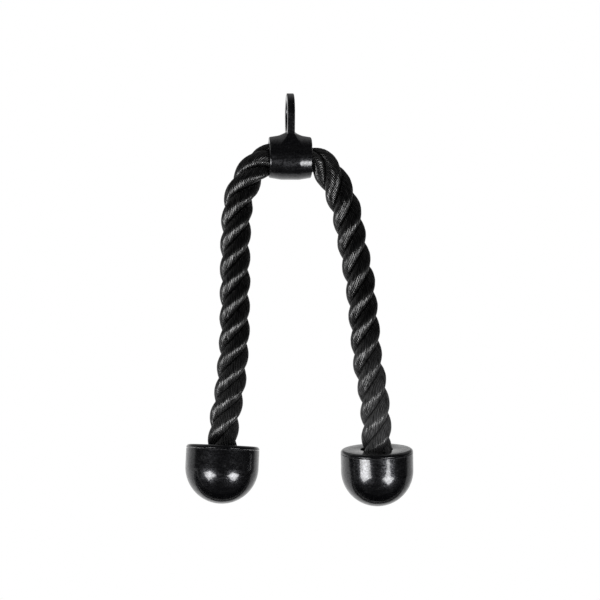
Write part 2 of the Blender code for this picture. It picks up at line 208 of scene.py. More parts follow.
def smooth_route(points):
    """Catmull-Rom curve through the route, with a straight end that runs into the cap's ferrule."""
    knots = [np.array(point) for point in points]
    padded = [2 * knots[0] - knots[1]] + knots + [2 * knots[-1] - knots[-2]]
    curve = []
    for index in range(len(knots) - 1):
        before, start, stop, after = padded[index:index + 4]
        for step in range(ROUTE_STEPS):
            share = step / ROUTE_STEPS
            curve.append(0.5 * (
                2 * start
                + (stop - before) * share
                + (2 * before - 5 * start + 4 * stop - after) * share ** 2
                + (3 * start - before - 3 * stop + after) * share ** 3
            ))
    curve.append(knots[-1])
    run_out = curve[-1] - curve[-2]
    curve.append(curve[-1] + run_out / np.linalg.norm(run_out) * ROPE_END_PAST_LID)
    return np.array(curve) + np.array(ROPE_MIDDLE)


def travel_along(curve):
    steps = np.linalg.norm(np.diff(curve, axis=0), axis=1)
    return np.concatenate(([0.0], np.cumsum(steps)))


def points_at(curve, travels, wanted):
    """Places on the curve at the wanted distances, one column at a time."""
    return np.stack([np.interp(wanted, travels, curve[:, axis]) for axis in range(3)], axis=1)


curves = {side: smooth_route(route) for side, route in ROUTES.items()}

# %% [markdown]
# A strand's outline in the slice across the rope is a circle, cut back by the two planes where it meets its
# neighbours. A soft minimum of the three rounds the corners, as pressed fibre does. The yarns counter-turn
# inside the strand, as they do in real laid rope, so that they end up nearly parallel to the rope itself. The
# columns of the grid follow the yarns, so the ridges stay crisp with five points for each yarn. Three things
# change along the rope. In the bore it swells until it nearly fills it. At the mouth the bend pinches it, turns
# its strands a little further and gets a paler fibre colour as a painted sheen. Hands rub it paler towards the
# caps.

# %% Strand shape
STRANDS = 3
LAY_LENGTH = 0.0674
STRAND_CENTRE_RADIUS = 0.0054
STRAND_RADIUS = 0.0086
STRAND_GAP = 0.0003
STRAND_CORNER_POWER = 9.0
YARNS = 34
POINTS_PER_YARN = 5
YARN_HEIGHT = 0.00055
YARN_UNEVENNESS = 0.00020
YARN_TURN_LENGTH = 0.0430
CREST_POWER = 0.6
CREST_MIDDLE = 0.8
FREE_FROM_SHARE = 0.75
FREE_FADE_SHARE = 0.2
RING_SPACING = 0.00175
SWELL = 0.00025
SWELL_LENGTH = 0.030
SEED_STEP = 7.31
SEED_SLICE = 0.5
STRAND_SEED = 100
STRAND_PHASES = {"left": -0.79, "right": -0.86}
PINCH_TRAVEL = 0.0180
PINCH_LENGTH = 0.0130
PINCHES = {"left": 0.03, "right": 0.12}
PINCH_DROP = 0.0008
SNUG_SWELL = 0.054
SNUG_LENGTH = 0.0165
MOUTH_TWISTS = {"left": 0.24, "right": 0.50}
MOUTH_TWIST_LENGTH = 0.027
RUBBED_FROM = 0.190
RUBBED_FADE = 0.090
RUBBED_SHARES = {"left": 0.35, "right": 1.0}
# At the mouth's bend the fibre colour is painted paler, a painted sheen standing in for the broad highlight
# there.
MOUTH_SHEEN = {"left": 0.06, "right": 0.14}
MOUTH_SHEEN_TRAVEL = 0.030
MOUTH_SHEEN_LENGTH = 0.016


def strand_radius(angle):
    """Distance from the strand's middle to its surface, at an angle from straight out of the rope."""
    wall = STRAND_CENTRE_RADIUS * math.sin(math.pi / STRANDS) - STRAND_GAP / 2
    lean = math.pi / STRANDS
    inverse = STRAND_RADIUS ** -STRAND_CORNER_POWER * np.ones_like(angle)
    for side in (-1, 1):
        towards_wall = side * np.sin(angle) * math.cos(lean) - np.cos(angle) * math.sin(lean)
        inverse += np.maximum(towards_wall, 0.0) ** STRAND_CORNER_POWER / wall ** STRAND_CORNER_POWER
    return inverse ** (-1 / STRAND_CORNER_POWER)


def yarn_noise(seed, travel):
    """Slow unevenness along a yarn or strand, the same on each run."""
    return noise.noise(Vector((travel / SWELL_LENGTH, seed * SEED_STEP, SEED_SLICE)))


outline = strand_radius(np.linspace(-math.pi, math.pi, 9))
print("strand outline in mm", np.round(outline * 1000, 2))

# %% [markdown]
# The grid operator makes one flat sheet for each strand, with a UV map. Each vertex is then moved onto the
# strand: its column says where it lies round the yarns, its row how far along the rope. The seam is merged
# and both ends are filled, so the strand is a closed body.

# %% Lay the rope


def frames_along(curve, travels, wanted):
    """Places, and the two directions across the rope, at each wanted distance."""
    places = points_at(curve, travels, wanted)
    ahead = points_at(curve, travels, np.minimum(wanted + RING_SPACING, travels[-1]))
    behind = points_at(curve, travels, np.maximum(wanted - RING_SPACING, 0.0))
    forward = ahead - behind
    forward /= np.linalg.norm(forward, axis=1)[:, None]
    towards_viewer = np.array((0.0, -1.0, 0.0)) - forward * -forward[:, 1][:, None]
    towards_viewer /= np.linalg.norm(towards_viewer, axis=1)[:, None]
    across = np.cross(towards_viewer, forward)
    return places, across, towards_viewer


def strand_sheet(maker, rows, columns):
    """A flat grid with UVs, and the share of the way that each vertex lies along its columns and rows."""
    made = bmesh.ops.create_grid(maker, x_segments=columns, y_segments=rows, size=0.5, calc_uvs=True)
    verts = made["verts"]
    flat = np.array([vert.co[:2] for vert in verts]) + 0.5
    return verts, flat[:, 0], flat[:, 1]


def lay_rope(side, curve):
    travels = travel_along(curve)
    start = HALVES_GAP / 2
    rows = round((travels[-1] - start) / RING_SPACING)
    columns = YARNS * POINTS_PER_YARN
    maker = bmesh.new()
    maker.loops.layers.uv.new("UVMap")
    rubbing_and_sheen_layer = maker.verts.layers.float.new("rubbing_and_sheen")
    for strand in range(STRANDS):
        verts, around, along = strand_sheet(maker, rows, columns)
        distance = start + along * (travels[-1] - start)
        places, across, viewer = frames_along(curve, travels, distance)
        turn = STRAND_PHASES[side] + math.tau * (distance / LAY_LENGTH + strand / STRANDS)
        turn += MOUTH_TWISTS[side] * np.exp(-((distance - PINCH_TRAVEL) / MOUTH_TWIST_LENGTH) ** 2)
        angle = math.tau * (around - distance / YARN_TURN_LENGTH)
        radius = strand_radius(angle)
        free_share = np.clip((radius / STRAND_RADIUS - FREE_FROM_SHARE) / FREE_FADE_SHARE, 0.0, 1.0)
        yarn = np.floor(around * YARNS + 0.5) % YARNS
        uneven = np.array([yarn_noise(strand * YARNS + seed, place) for seed, place in zip(yarn, distance)])
        swell = np.array([yarn_noise(strand + STRAND_SEED, place) for place in distance])
        crest = np.abs(np.cos(math.pi * YARNS * around)) ** CREST_POWER
        ridge = (crest - CREST_MIDDLE) * YARN_HEIGHT + uneven * YARN_UNEVENNESS + swell * SWELL
        radius = radius + ridge * free_share
        outward = STRAND_CENTRE_RADIUS + radius * np.cos(angle)
        sideways = radius * np.sin(angle)
        along_across = outward * np.cos(turn) - sideways * np.sin(turn)
        along_viewer = outward * np.sin(turn) + sideways * np.cos(turn)
        pinch = np.exp(-((distance - PINCH_TRAVEL) / PINCH_LENGTH) ** 2) * PINCHES[side]
        snug = np.exp(-(distance / SNUG_LENGTH) ** 4) * SNUG_SWELL
        squeezed = (1 + snug - pinch)[:, None]
        places[:, 2] -= pinch / max(PINCHES.values()) * PINCH_DROP
        points = (places + across * along_across[:, None] * squeezed
                  + viewer * along_viewer[:, None] * squeezed)
        # Per vertex: paler fibre towards the caps, where hands rub the rope, plus a painted sheen at the
        # mouth's bend.
        rubbing_and_sheen = np.clip((distance - RUBBED_FROM) / RUBBED_FADE, 0.0, 1.0) * RUBBED_SHARES[side]
        rubbing_and_sheen += np.exp(-((distance - MOUTH_SHEEN_TRAVEL) / MOUTH_SHEEN_LENGTH) ** 2) * MOUTH_SHEEN[side]
        for vert, point, rub_and_highlight in zip(verts, points, rubbing_and_sheen):
            vert.co = point
            vert[rubbing_and_sheen_layer] = rub_and_highlight
    bmesh.ops.remove_doubles(maker, verts=maker.verts, dist=MERGE_DISTANCE)
    open_edges = [edge for edge in maker.edges if edge.is_boundary]
    bmesh.ops.holes_fill(maker, edges=open_edges)
    bmesh.ops.recalc_face_normals(maker, faces=maker.faces)
    return mesh_from(f"{side}_rope", maker)


print("each strand is", YARNS * POINTS_PER_YARN, "points round, with a ring each", RING_SPACING * 1000, "mm")

# %% [markdown]
# Black synthetic rope is nearly black where it turns away, and shines along its yarns where it faces a lamp.
# The shader adds what the mesh is too coarse for: hair-fine filaments that run with each yarn, made from a
# noise that is stretched along the UV map, and painted shade that keeps the grooves darker than the ridges.

# %% Rope fibre material
FIBRE_COLOUR = (0.002, 0.002, 0.0022)
FIBRE_DARK = (0.0004, 0.0004, 0.0005, 1.0)
FIBRE_PALE = (0.0050, 0.0050, 0.0053, 1.0)
# Paler fibre colour: fibre that hands rub towards the caps, and a painted sheen at the mouth's bend.
FIBRE_RUBBING_AND_SHEEN = (0.110, 0.110, 0.112, 1.0)


def new_material(name, colour, roughness, metallic=0.0):
    material = bpy.data.materials.new(name)
    material.use_nodes = True
    nodes = material.node_tree.nodes
    shader = nodes["Principled BSDF"]
    shader.inputs["Base Color"].default_value = (*colour, 1.0)
    shader.inputs["Roughness"].default_value = roughness
    shader.inputs["Metallic"].default_value = metallic
    return material, nodes, material.node_tree.links, shader


def add_node(nodes, kind, **settings):
    node = nodes.new(kind)
    for name, value in settings.items():
        if hasattr(node, name):
            setattr(node, name, value)
        else:
            node.inputs[name].default_value = value
    return node


def combined(nodes, links, operation, first, second):
    """Output of a maths node that joins two values."""
    node = add_node(nodes, "ShaderNodeMath", operation=operation)
    links.new(first, node.inputs[0])
    links.new(second, node.inputs[1])
    return node.outputs[0]


def map_range(nodes, links, value, low, high, to_low, to_high, curve="LINEAR"):
    """Output of a clamped range, for the many places where a noise or a distance drives a setting."""
    ranged = add_node(nodes, "ShaderNodeMapRange", interpolation_type=curve)
    for name, number in (("From Min", low), ("From Max", high), ("To Min", to_low), ("To Max", to_high)):
        ranged.inputs[name].default_value = number
    links.new(value, ranged.inputs["Value"])
    return ranged.outputs["Result"]


def scaled_noise(nodes, links, vector, scale, detail):
    """Noise over a vector that is stretched by a different factor on each axis."""
    stretch = add_node(nodes, "ShaderNodeMapping")
    stretch.inputs["Scale"].default_value = scale
    links.new(vector, stretch.inputs["Vector"])
    texture = add_node(nodes, "ShaderNodeTexNoise", Scale=1.0, Detail=detail, Roughness=0.6)
    links.new(stretch.outputs["Vector"], texture.inputs["Vector"])
    return texture.outputs["Fac"]


def yarn_values(nodes, links, vector):
    """Height across each yarn, 0 in the groove and 1 on the crest, and a tone of each yarn's own."""
    split = add_node(nodes, "ShaderNodeSeparateXYZ")
    links.new(vector, split.inputs["Vector"])
    count = add_node(nodes, "ShaderNodeMath", operation="MULTIPLY")
    links.new(split.outputs["X"], count.inputs[0])
    count.inputs[1].default_value = YARNS
    number = add_node(nodes, "ShaderNodeMath", operation="ROUND")
    links.new(count.outputs[0], number.inputs[0])
    chance = add_node(nodes, "ShaderNodeTexWhiteNoise", noise_dimensions="1D")
    links.new(number.outputs[0], chance.inputs["W"])
    angle = add_node(nodes, "ShaderNodeMath", operation="MULTIPLY")
    links.new(count.outputs[0], angle.inputs[0])
    angle.inputs[1].default_value = math.pi
    wave = add_node(nodes, "ShaderNodeMath", operation="COSINE")
    links.new(angle.outputs[0], wave.inputs[0])
    crest = add_node(nodes, "ShaderNodeMath", operation="ABSOLUTE")
    links.new(wave.outputs[0], crest.inputs[0])
    return crest.outputs[0], map_range(nodes, links, chance.outputs["Value"], 0.0, 1.0, 0.75, 1.2)


def rope_material():
    material, nodes, links, shader = new_material("rope_black_fibre", FIBRE_COLOUR, 0.30)
    shader.inputs["IOR"].default_value = 1.85
    shader.inputs["Anisotropic"].default_value = 0.4
    uv = add_node(nodes, "ShaderNodeUVMap", uv_map="UVMap")
    around = add_node(nodes, "ShaderNodeTangent", direction_type="UV_MAP", uv_map="UVMap")
    links.new(around.outputs["Tangent"], shader.inputs["Tangent"])
    filaments = scaled_noise(nodes, links, uv.outputs["UV"], (YARNS * 2.2, 45.0, 1.0), 3.0)
    patches = scaled_noise(nodes, links, uv.outputs["UV"], (YARNS * 0.9, 14.0, 1.0), 2.0)
    colour = add_node(nodes, "ShaderNodeValToRGB")
    colour.color_ramp.elements[0].position = 0.35
    colour.color_ramp.elements[0].color = FIBRE_DARK
    colour.color_ramp.elements[1].position = 0.75
    colour.color_ramp.elements[1].color = FIBRE_PALE
    links.new(filaments, colour.inputs["Fac"])
    # This value carries the rub of the fibre towards the caps and the painted sheen at the mouth's bend.
    rubbing_and_sheen = add_node(nodes, "ShaderNodeAttribute", attribute_name="rubbing_and_sheen")
    crest, yarn_tone = yarn_values(nodes, links, uv.outputs["UV"])
    # Painted shade: the ridge mask darkens the pale fibre colour and the shine in the grooves between the
    # yarns.
    ridge = map_range(nodes, links, crest, 0.25, 0.85, 0.05, 1.15)
    fuzz_and_sheen = rubbing_and_sheen.outputs["Fac"]
    for factor in (map_range(nodes, links, filaments, 0.35, 0.62, 0.15, 1.2), ridge):
        fuzz_and_sheen = combined(nodes, links, "MULTIPLY", fuzz_and_sheen, factor)
    rub_and_sheen_colour = add_node(nodes, "ShaderNodeMix", data_type="RGBA")
    links.new(fuzz_and_sheen, rub_and_sheen_colour.inputs["Factor"])
    links.new(colour.outputs["Color"], rub_and_sheen_colour.inputs["A"])
    rub_and_sheen_colour.inputs["B"].default_value = FIBRE_RUBBING_AND_SHEEN
    links.new(rub_and_sheen_colour.outputs["Result"], shader.inputs["Base Color"])
    links.new(map_range(nodes, links, patches, 0.3, 0.7, 0.20, 0.34), shader.inputs["Roughness"])
    shine = map_range(nodes, links, filaments, 0.35, 0.65, 0.15, 1.1)
    dulled = map_range(nodes, links, rubbing_and_sheen.outputs["Fac"], 0.0, 1.0, 1.0, 0.75)
    for factor in (ridge, yarn_tone, dulled):
        shine = combined(nodes, links, "MULTIPLY", shine, factor)
    links.new(shine, shader.inputs["Specular IOR Level"])
    bump = add_node(nodes, "ShaderNodeBump", Strength=0.7, Distance=0.0002)
    links.new(filaments, bump.inputs["Height"])
    links.new(bump.outputs["Normal"], shader.inputs["Normal"])
    return material


rope_fibre = rope_material()
print(rope_fibre.name, "has", len(rope_fibre.node_tree.nodes), "nodes")

# %% [markdown]
# Each limb is one piece from the middle of the bore to its end in the ferrule, and it crosses the joint where
# the rope bends.


def add_limb(side):
    curve = curves[side]
    mesh = lay_rope(side, curve)
    piece = add_piece(f"{side}_rope", mesh, rope_fibre, None,
                      (f"{side}_rope_root", f"{side}_rope_limb"))
    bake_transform(piece)


for side in ROUTES:
    add_limb(side)

# %% [markdown]
# The collar is a casting. Cast metal has no sharp inside corners and no razor edges, and its skin is a little
# soft. It could be bevelled edge by edge, but a bevel fails where the round sleeve meets the eye's foot.
# Instead the sleeve, foot and plate are united, bored, rebuilt as fine even faces, and smoothed, which rounds
# every edge and corner by about the same amount, as a sand mould does.

# %% Collar sizes
COLLAR_HALF_LENGTH = 0.0195
COLLAR_RADIUS = 0.0205
COLLAR_TAPER = 0.0017
COLLAR_HALF_MIDDLE = 0.0082
COLLAR_LIP_ROUNDING = 0.0009
SLEEVE_AXIS_Z = -0.0514
BORE_AXIS_Z = -0.0530
BORE_RADIUS = 0.0149
BORE_FLARE = 0.0008
BORE_FLARE_LENGTH = 0.0080
BORE_STEPS = 9
TURNING_STEPS = 128
EYE_THICKNESS = 0.0068
EYE_HOLE_RADIUS = 0.0125
EYE_HOLE_HEIGHT = 0.0275
EYE_CROWN = 0.0075
EYE_CHEEK = 0.0070
EYE_TAPER = 0.0024
EYE_HOLE_SOFTNESS = 0.0020
EYE_HOLE_STEPS = 7
FOOT_REACH = 0.0078
FOOT_SLOPE_SHARE = 0.55
FOOT_HALF_WIDTH = 0.0183
FOOT_EDGE_DROP = 0.0042
FOOT_LEVELS = 12
FOOT_INSET = 0.0001
FOOT_SINK = 0.0020
FOOT_RUN_OUT = 0.0040
FOOT_SMOOTH_TOP = -0.0308
FOOT_SMOOTHING = 28
CAST_VOXEL = 0.00050
CAST_SMOOTHING = 6
CAST_SMOOTHING_FACTOR = 0.5
CUT_OVERRUN = 0.004


def arc(centre, radii, start, stop, steps):
    """Points of an ellipse's arc, in degrees."""
    angles = [math.radians(start + (stop - start) * step / steps) for step in range(steps + 1)]
    return [(centre[0] + radii[0] * math.cos(a), centre[1] + radii[1] * math.sin(a)) for a in angles]


def turned(outline, steps, closed):
    """Spins an outline of (radius, height) points about Z into a bmesh."""
    maker = bmesh.new()
    ring = [maker.verts.new((radius, 0.0, height)) for radius, height in outline]
    edges = [maker.edges.new(pair) for pair in zip(ring, ring[1:])]
    if closed:
        edges.append(maker.edges.new((ring[-1], ring[0])))
    bmesh.ops.spin(maker, geom=ring + edges, axis=(0, 0, 1), cent=(0, 0, 0), angle=math.tau,
                   steps=steps, use_merge=True)
    bmesh.ops.remove_doubles(maker, verts=maker.verts, dist=MERGE_DISTANCE)
    bmesh.ops.recalc_face_normals(maker, faces=maker.faces)
    return maker


def sleeve_radius(place):
    """Even in the middle, and tapered towards both ends."""
    past_middle = max(abs(place) - COLLAR_HALF_MIDDLE, 0.0)
    return COLLAR_RADIUS - COLLAR_TAPER * past_middle / (COLLAR_HALF_LENGTH - COLLAR_HALF_MIDDLE)


box_low, box_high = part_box("collar_casting")
print("collar box in mm", [round(value * 1000, 1) for value in (*box_low, *box_high)])

# %% [markdown]
# Each body of the casting is a bmesh of its own. The sleeve and its bore are turned, the plate is a flat
# shape pushed out, and the foot that joins them grows down from the plate in small steps. Modifiers then
# unite and cut them, and the result is kept as a plain mesh.

# %% Sleeve, plate, foot and their cutters


def sleeve_mesh():
    end = COLLAR_HALF_LENGTH - COLLAR_LIP_ROUNDING
    end_radius = sleeve_radius(COLLAR_HALF_LENGTH) - COLLAR_LIP_ROUNDING
    rounding = (COLLAR_LIP_ROUNDING, COLLAR_LIP_ROUNDING)
    places = (-COLLAR_HALF_MIDDLE, COLLAR_HALF_MIDDLE)
    outline = [(0.0, -COLLAR_HALF_LENGTH)] + arc((end_radius, -end), rounding, -90, 0, 6)
    outline += [(sleeve_radius(place), place) for place in places]
    outline += arc((end_radius, end), rounding, 0, 90, 6) + [(0.0, COLLAR_HALF_LENGTH)]
    return laid_along_x("sleeve", turned(outline, TURNING_STEPS, False), SLEEVE_AXIS_Z)


def bore_mesh():
    curve_radius = (BORE_FLARE_LENGTH ** 2 + BORE_FLARE ** 2) / (2 * BORE_FLARE)
    mouth = []
    for along in np.linspace(0.0, BORE_FLARE_LENGTH + COLLAR_LIP_ROUNDING, BORE_STEPS):
        rise = curve_radius - math.sqrt(curve_radius ** 2 - along ** 2)
        mouth.append((BORE_RADIUS + rise, COLLAR_HALF_LENGTH - BORE_FLARE_LENGTH + along))
    cutter_end = COLLAR_HALF_LENGTH + CUT_OVERRUN
    mouth += [(mouth[-1][0], cutter_end), (0.0, cutter_end)]
    outline = [(radius, -place) for radius, place in reversed(mouth)] + mouth
    return laid_along_x("bore", turned(outline, TURNING_STEPS, False), BORE_AXIS_Z)


def laid_along_x(name, maker, axis_z):
    bmesh.ops.rotate(maker, verts=maker.verts, cent=(0, 0, 0), matrix=Matrix.Rotation(math.pi / 2, 3, "Y"))
    bmesh.ops.translate(maker, verts=maker.verts, vec=(0, 0, axis_z))
    return mesh_from(name, maker)


def plate_like(name, outline, half_thickness):
    """A flat shape in the YZ plane, pushed out to both sides of it."""
    maker = bmesh.new()
    face = maker.faces.new([maker.verts.new((-half_thickness, y, z)) for y, z in outline])
    pushed = bmesh.ops.extrude_face_region(maker, geom=[face])
    moved = [item for item in pushed["geom"] if isinstance(item, bmesh.types.BMVert)]
    bmesh.ops.translate(maker, verts=moved, vec=(2 * half_thickness, 0, 0))
    bmesh.ops.recalc_face_normals(maker, faces=maker.faces)
    return mesh_from(name, maker)


def plate_mesh():
    half_width = EYE_HOLE_RADIUS + EYE_CHEEK
    bottom = SLEEVE_AXIS_Z + COLLAR_RADIUS
    outline = arc((0.0, -EYE_HOLE_RADIUS), (half_width, EYE_HOLE_RADIUS + EYE_CROWN), 0, 180, 64)
    outline += [(EYE_TAPER - half_width, bottom), (half_width - EYE_TAPER, bottom)]
    return plate_like("eye_plate", outline, EYE_THICKNESS / 2)


def hole_mesh():
    """A cutter that widens in a quarter round towards both faces of the plate, so the hole has soft edges."""
    centres = (-EYE_HOLE_RADIUS, EYE_HOLE_RADIUS - EYE_HOLE_HEIGHT)
    outline = arc((0.0, centres[0]), (1.0, 1.0), 0, 180, 40)
    outline += arc((0.0, centres[1]), (1.0, 1.0), 180, 360, 40)
    middle = (centres[0] + centres[1]) / 2
    flat = EYE_THICKNESS / 2 - EYE_HOLE_SOFTNESS
    quarter = [(flat + EYE_HOLE_SOFTNESS * math.sin(a), EYE_HOLE_SOFTNESS * (1 - math.cos(a)))
               for a in np.linspace(0, math.pi / 2, EYE_HOLE_STEPS)]
    quarter.append((EYE_THICKNESS, EYE_HOLE_SOFTNESS))
    levels = [(-x, growth) for x, growth in reversed(quarter)] + quarter
    maker = bmesh.new()
    sheet = maker.faces.new([maker.verts.new((0.0, y, z)) for y, z in outline])
    centre_of = {}
    for vert in sheet.verts:
        centre_of[vert] = centres[0] if vert.co.z > middle else centres[1]
    unit = {vert: Vector((0.0, vert.co.y, vert.co.z - centre_of[vert])) for vert in sheet.verts}
    for number, (x, growth) in enumerate(levels):
        if number:
            before = list(sheet.verts)
            pushed = bmesh.ops.extrude_discrete_faces(maker, faces=[sheet])["faces"][0]
            for old, new in zip(before, pushed.verts):
                centre_of[new], unit[new] = centre_of[old], unit[old]
            sheet = pushed
        for vert in sheet.verts:
            vert.co = Vector((x, 0.0, centre_of[vert])) + unit[vert] * (EYE_HOLE_RADIUS + growth)
    bmesh.ops.recalc_face_normals(maker, faces=maker.faces)
    return mesh_from("eye_hole", maker)


def foot_mesh():
    """A rectangle pushed down in steps, which spread like a fillet and sink onto the round sleeve.

    Its front and back edges start to spread lower than its middle does.
    """
    top_half_width = EYE_HOLE_RADIUS + EYE_CHEEK - EYE_TAPER
    top = -EYE_HOLE_HEIGHT
    maker = bmesh.new()
    bmesh.ops.create_grid(maker, x_segments=4, y_segments=20, size=1.0)
    sheet = list(maker.faces)
    shape = {vert: (vert.co.x, vert.co.y) for vert in maker.verts}
    for level in range(FOOT_LEVELS + 2):
        share = min(level / FOOT_LEVELS, 1.0)
        fillet = 1 - math.sqrt(1 - share ** 2)
        half_x = EYE_THICKNESS / 2 - FOOT_INSET
        half_x += FOOT_REACH * (share * FOOT_SLOPE_SHARE + fillet * (1 - FOOT_SLOPE_SHARE))
        half_y = top_half_width + (FOOT_HALF_WIDTH - top_half_width) * share
        if level:
            pushed = bmesh.ops.extrude_face_region(maker, geom=sheet)["geom"]
            if level > 1:
                bmesh.ops.delete(maker, geom=sheet, context="FACES_ONLY")
            sheet = [item for item in pushed if isinstance(item, bmesh.types.BMFace)]
        for vert in {vert for face in sheet for vert in face.verts}:
            if level == 0:
                x, y = shape[vert]
            else:
                x, y = vert.co.x / last_half_x, vert.co.y / last_half_y
            seat = SLEEVE_AXIS_Z + math.sqrt(sleeve_radius(x * half_x) ** 2 - (y * FOOT_HALF_WIDTH) ** 2)
            sink = FOOT_SINK if level > FOOT_LEVELS else 0.0
            start = top - FOOT_EDGE_DROP * y ** 4
            vert.co = (x * half_x, y * half_y, start + (seat - start) * share - sink)
        last_half_x, last_half_y = half_x, half_y
    bmesh.ops.recalc_face_normals(maker, faces=maker.faces)
    return mesh_from("eye_foot", maker)


def cast_together(name, base, steps):
    """Unites and cuts meshes in turn, rebuilds the result as even faces and smooths it."""
    work = bpy.data.objects.new(name, base)
    scene.collection.objects.link(work)
    helpers = []
    for operation, mesh in steps:
        helper = bpy.data.objects.new(mesh.name, mesh)
        scene.collection.objects.link(helper)
        helpers.append(helper)
        cut = work.modifiers.new(operation.lower(), "BOOLEAN")
        cut.operation = operation
        cut.object = helper
        cut.solver = "EXACT"
    remesh = work.modifiers.new("even_faces", "REMESH")
    remesh.mode = "VOXEL"
    remesh.voxel_size = CAST_VOXEL
    remesh.use_smooth_shade = True
    smooth = work.modifiers.new("soft_edges", "SMOOTH")
    smooth.factor = CAST_SMOOTHING_FACTOR
    smooth.iterations = CAST_SMOOTHING
    bpy.context.view_layer.update()
    graph = bpy.context.evaluated_depsgraph_get()
    cast = bpy.data.meshes.new_from_object(work.evaluated_get(graph))
    cast.name = name
    for item in [work] + helpers:
        bpy.data.objects.remove(item, do_unlink=True)
    cast.shade_smooth()
    return cast


def soften_foot(mesh):
    """More smoothing where the foot's two ends run out on the sleeve, which leaves no crease there."""
    seat = SLEEVE_AXIS_Z + math.sqrt(COLLAR_RADIUS ** 2 - FOOT_HALF_WIDTH ** 2)
    maker = bmesh.new()
    maker.from_mesh(mesh)
    zone = [vert for vert in maker.verts if seat - FOOT_RUN_OUT < vert.co.z < FOOT_SMOOTH_TOP
            and abs(vert.co.y) > FOOT_HALF_WIDTH - FOOT_RUN_OUT]
    for _ in range(FOOT_SMOOTHING):
        bmesh.ops.smooth_vert(maker, verts=zone, factor=CAST_SMOOTHING_FACTOR,
                              use_axis_x=True, use_axis_y=True, use_axis_z=True)
    maker.to_mesh(mesh)
    maker.free()


collar_mesh = cast_together("collar", sleeve_mesh(), [
    ("UNION", foot_mesh()),
    ("UNION", plate_mesh()),
    ("DIFFERENCE", hole_mesh()),
    ("DIFFERENCE", bore_mesh()),
])
soften_foot(collar_mesh)
print("collar has", len(collar_mesh.polygons), "faces")

# %% [markdown]
# The collar wears thick gloss enamel over a cast surface. A soft noise tilts the shaded surface very
# slightly, so reflections wobble like those in dipped paint, and a finer one dulls it in patches.

# %% Enamel
SMEAR_SCALE = (140.0, 140.0, 420.0)
DUST_SCALE = 420.0
BLOTCH_SCALE = (600.0, 600.0, 600.0)
# Pale paint for specks and scuffed edges; on the caps' top edges it is also a painted highlight along the
# joint.
MARKS_AND_HIGHLIGHT_COLOUR = (0.070, 0.070, 0.074, 1.0)
SKIN_TINT = (0.92, 0.93, 1.0, 1.0)


def gloss_material(name, colour, wave_scale, wave_depth, peel_scale, peel_depth, haze, skin):
    """Black gloss: a clear skin with a wave and a fine grain over a hazy body, with specks and pale scuffed
    edges, which are also a painted highlight.
    """
    material, nodes, links, shader = new_material(name, colour, haze[0])
    shader.inputs["IOR"].default_value = 1.58
    shader.inputs["Specular Tint"].default_value = SKIN_TINT
    shader.inputs["Coat IOR"].default_value = 1.70
    where = add_node(nodes, "ShaderNodeTexCoord").outputs["Object"]
    wave = scaled_noise(nodes, links, where, (wave_scale, wave_scale, wave_scale), 1.0)
    peel = scaled_noise(nodes, links, where, (peel_scale, peel_scale, peel_scale), 3.0)
    smear = scaled_noise(nodes, links, where, SMEAR_SCALE, 4.0)
    dust = add_node(nodes, "ShaderNodeTexVoronoi", Scale=DUST_SCALE, Randomness=1.0)
    links.new(where, dust.inputs["Vector"])
    specks = map_range(nodes, links, dust.outputs["Distance"], 0.05, 0.14, 1.0, 0.0)
    rare = map_range(nodes, links, smear, 0.60, 0.64, 0.0, 1.0)
    # The pale band on a cup's top edge is scuffed paint and also a painted highlight along the joint line.
    scuff_and_highlight = add_node(nodes, "ShaderNodeAttribute", attribute_name="scuff_and_highlight")
    grain = map_range(nodes, links, peel, 0.35, 0.60, 0.0, 1.0)
    rub_and_highlight = combined(nodes, links, "MULTIPLY", scuff_and_highlight.outputs["Fac"], grain)
    marks_and_highlight = combined(nodes, links, "MAXIMUM", combined(nodes, links, "MULTIPLY", specks, rare), rub_and_highlight)
    paint = add_node(nodes, "ShaderNodeMix", data_type="RGBA")
    paint.inputs["A"].default_value = (*colour, 1.0)
    paint.inputs["B"].default_value = MARKS_AND_HIGHLIGHT_COLOUR
    links.new(marks_and_highlight, paint.inputs["Factor"])
    links.new(paint.outputs["Result"], shader.inputs["Base Color"])
    links.new(map_range(nodes, links, smear, 0.35, 0.70, haze[0], haze[1]), shader.inputs["Roughness"])
    links.new(map_range(nodes, links, smear, 0.45, 0.75, *skin), shader.inputs["Coat Roughness"])
    links.new(map_range(nodes, links, peel, 0.35, 0.60, 0.65, 1.0), shader.inputs["Coat Weight"])
    blotches = scaled_noise(nodes, links, where, BLOTCH_SCALE, 3.0)
    links.new(map_range(nodes, links, blotches, 0.35, 0.65, 0.15, 1.0), shader.inputs["Specular IOR Level"])
    soft = add_node(nodes, "ShaderNodeBump", Strength=0.3, Distance=wave_depth)
    links.new(wave, soft.inputs["Height"])
    fine = add_node(nodes, "ShaderNodeBump", Strength=0.15, Distance=peel_depth)
    links.new(peel, fine.inputs["Height"])
    links.new(soft.outputs["Normal"], fine.inputs["Normal"])
    for socket in ("Normal", "Coat Normal"):
        links.new(fine.outputs["Normal"], shader.inputs[socket])
    return material


enamel = gloss_material(
    "collar_black_enamel", colour=(0.0017, 0.0017, 0.0023), wave_scale=260.0, wave_depth=0.0002,
    peel_scale=1400.0, peel_depth=0.00002, haze=(0.22, 0.38), skin=(0.13, 0.19),
)
add_piece("collar", collar_mesh, enamel, "collar", ["collar_casting"])

# %% [markdown]
# The end caps are turned shapes: a lid with a rounded rim and a cup that closes in a half sphere. The
# operator that fits is a spin, and the outline is drawn with arcs so that every edge that a hand meets is
# rounded. The outlines are drawn at the lid's top, looking down the cap's own axis, and a matrix then carries
# them to each rope's end.

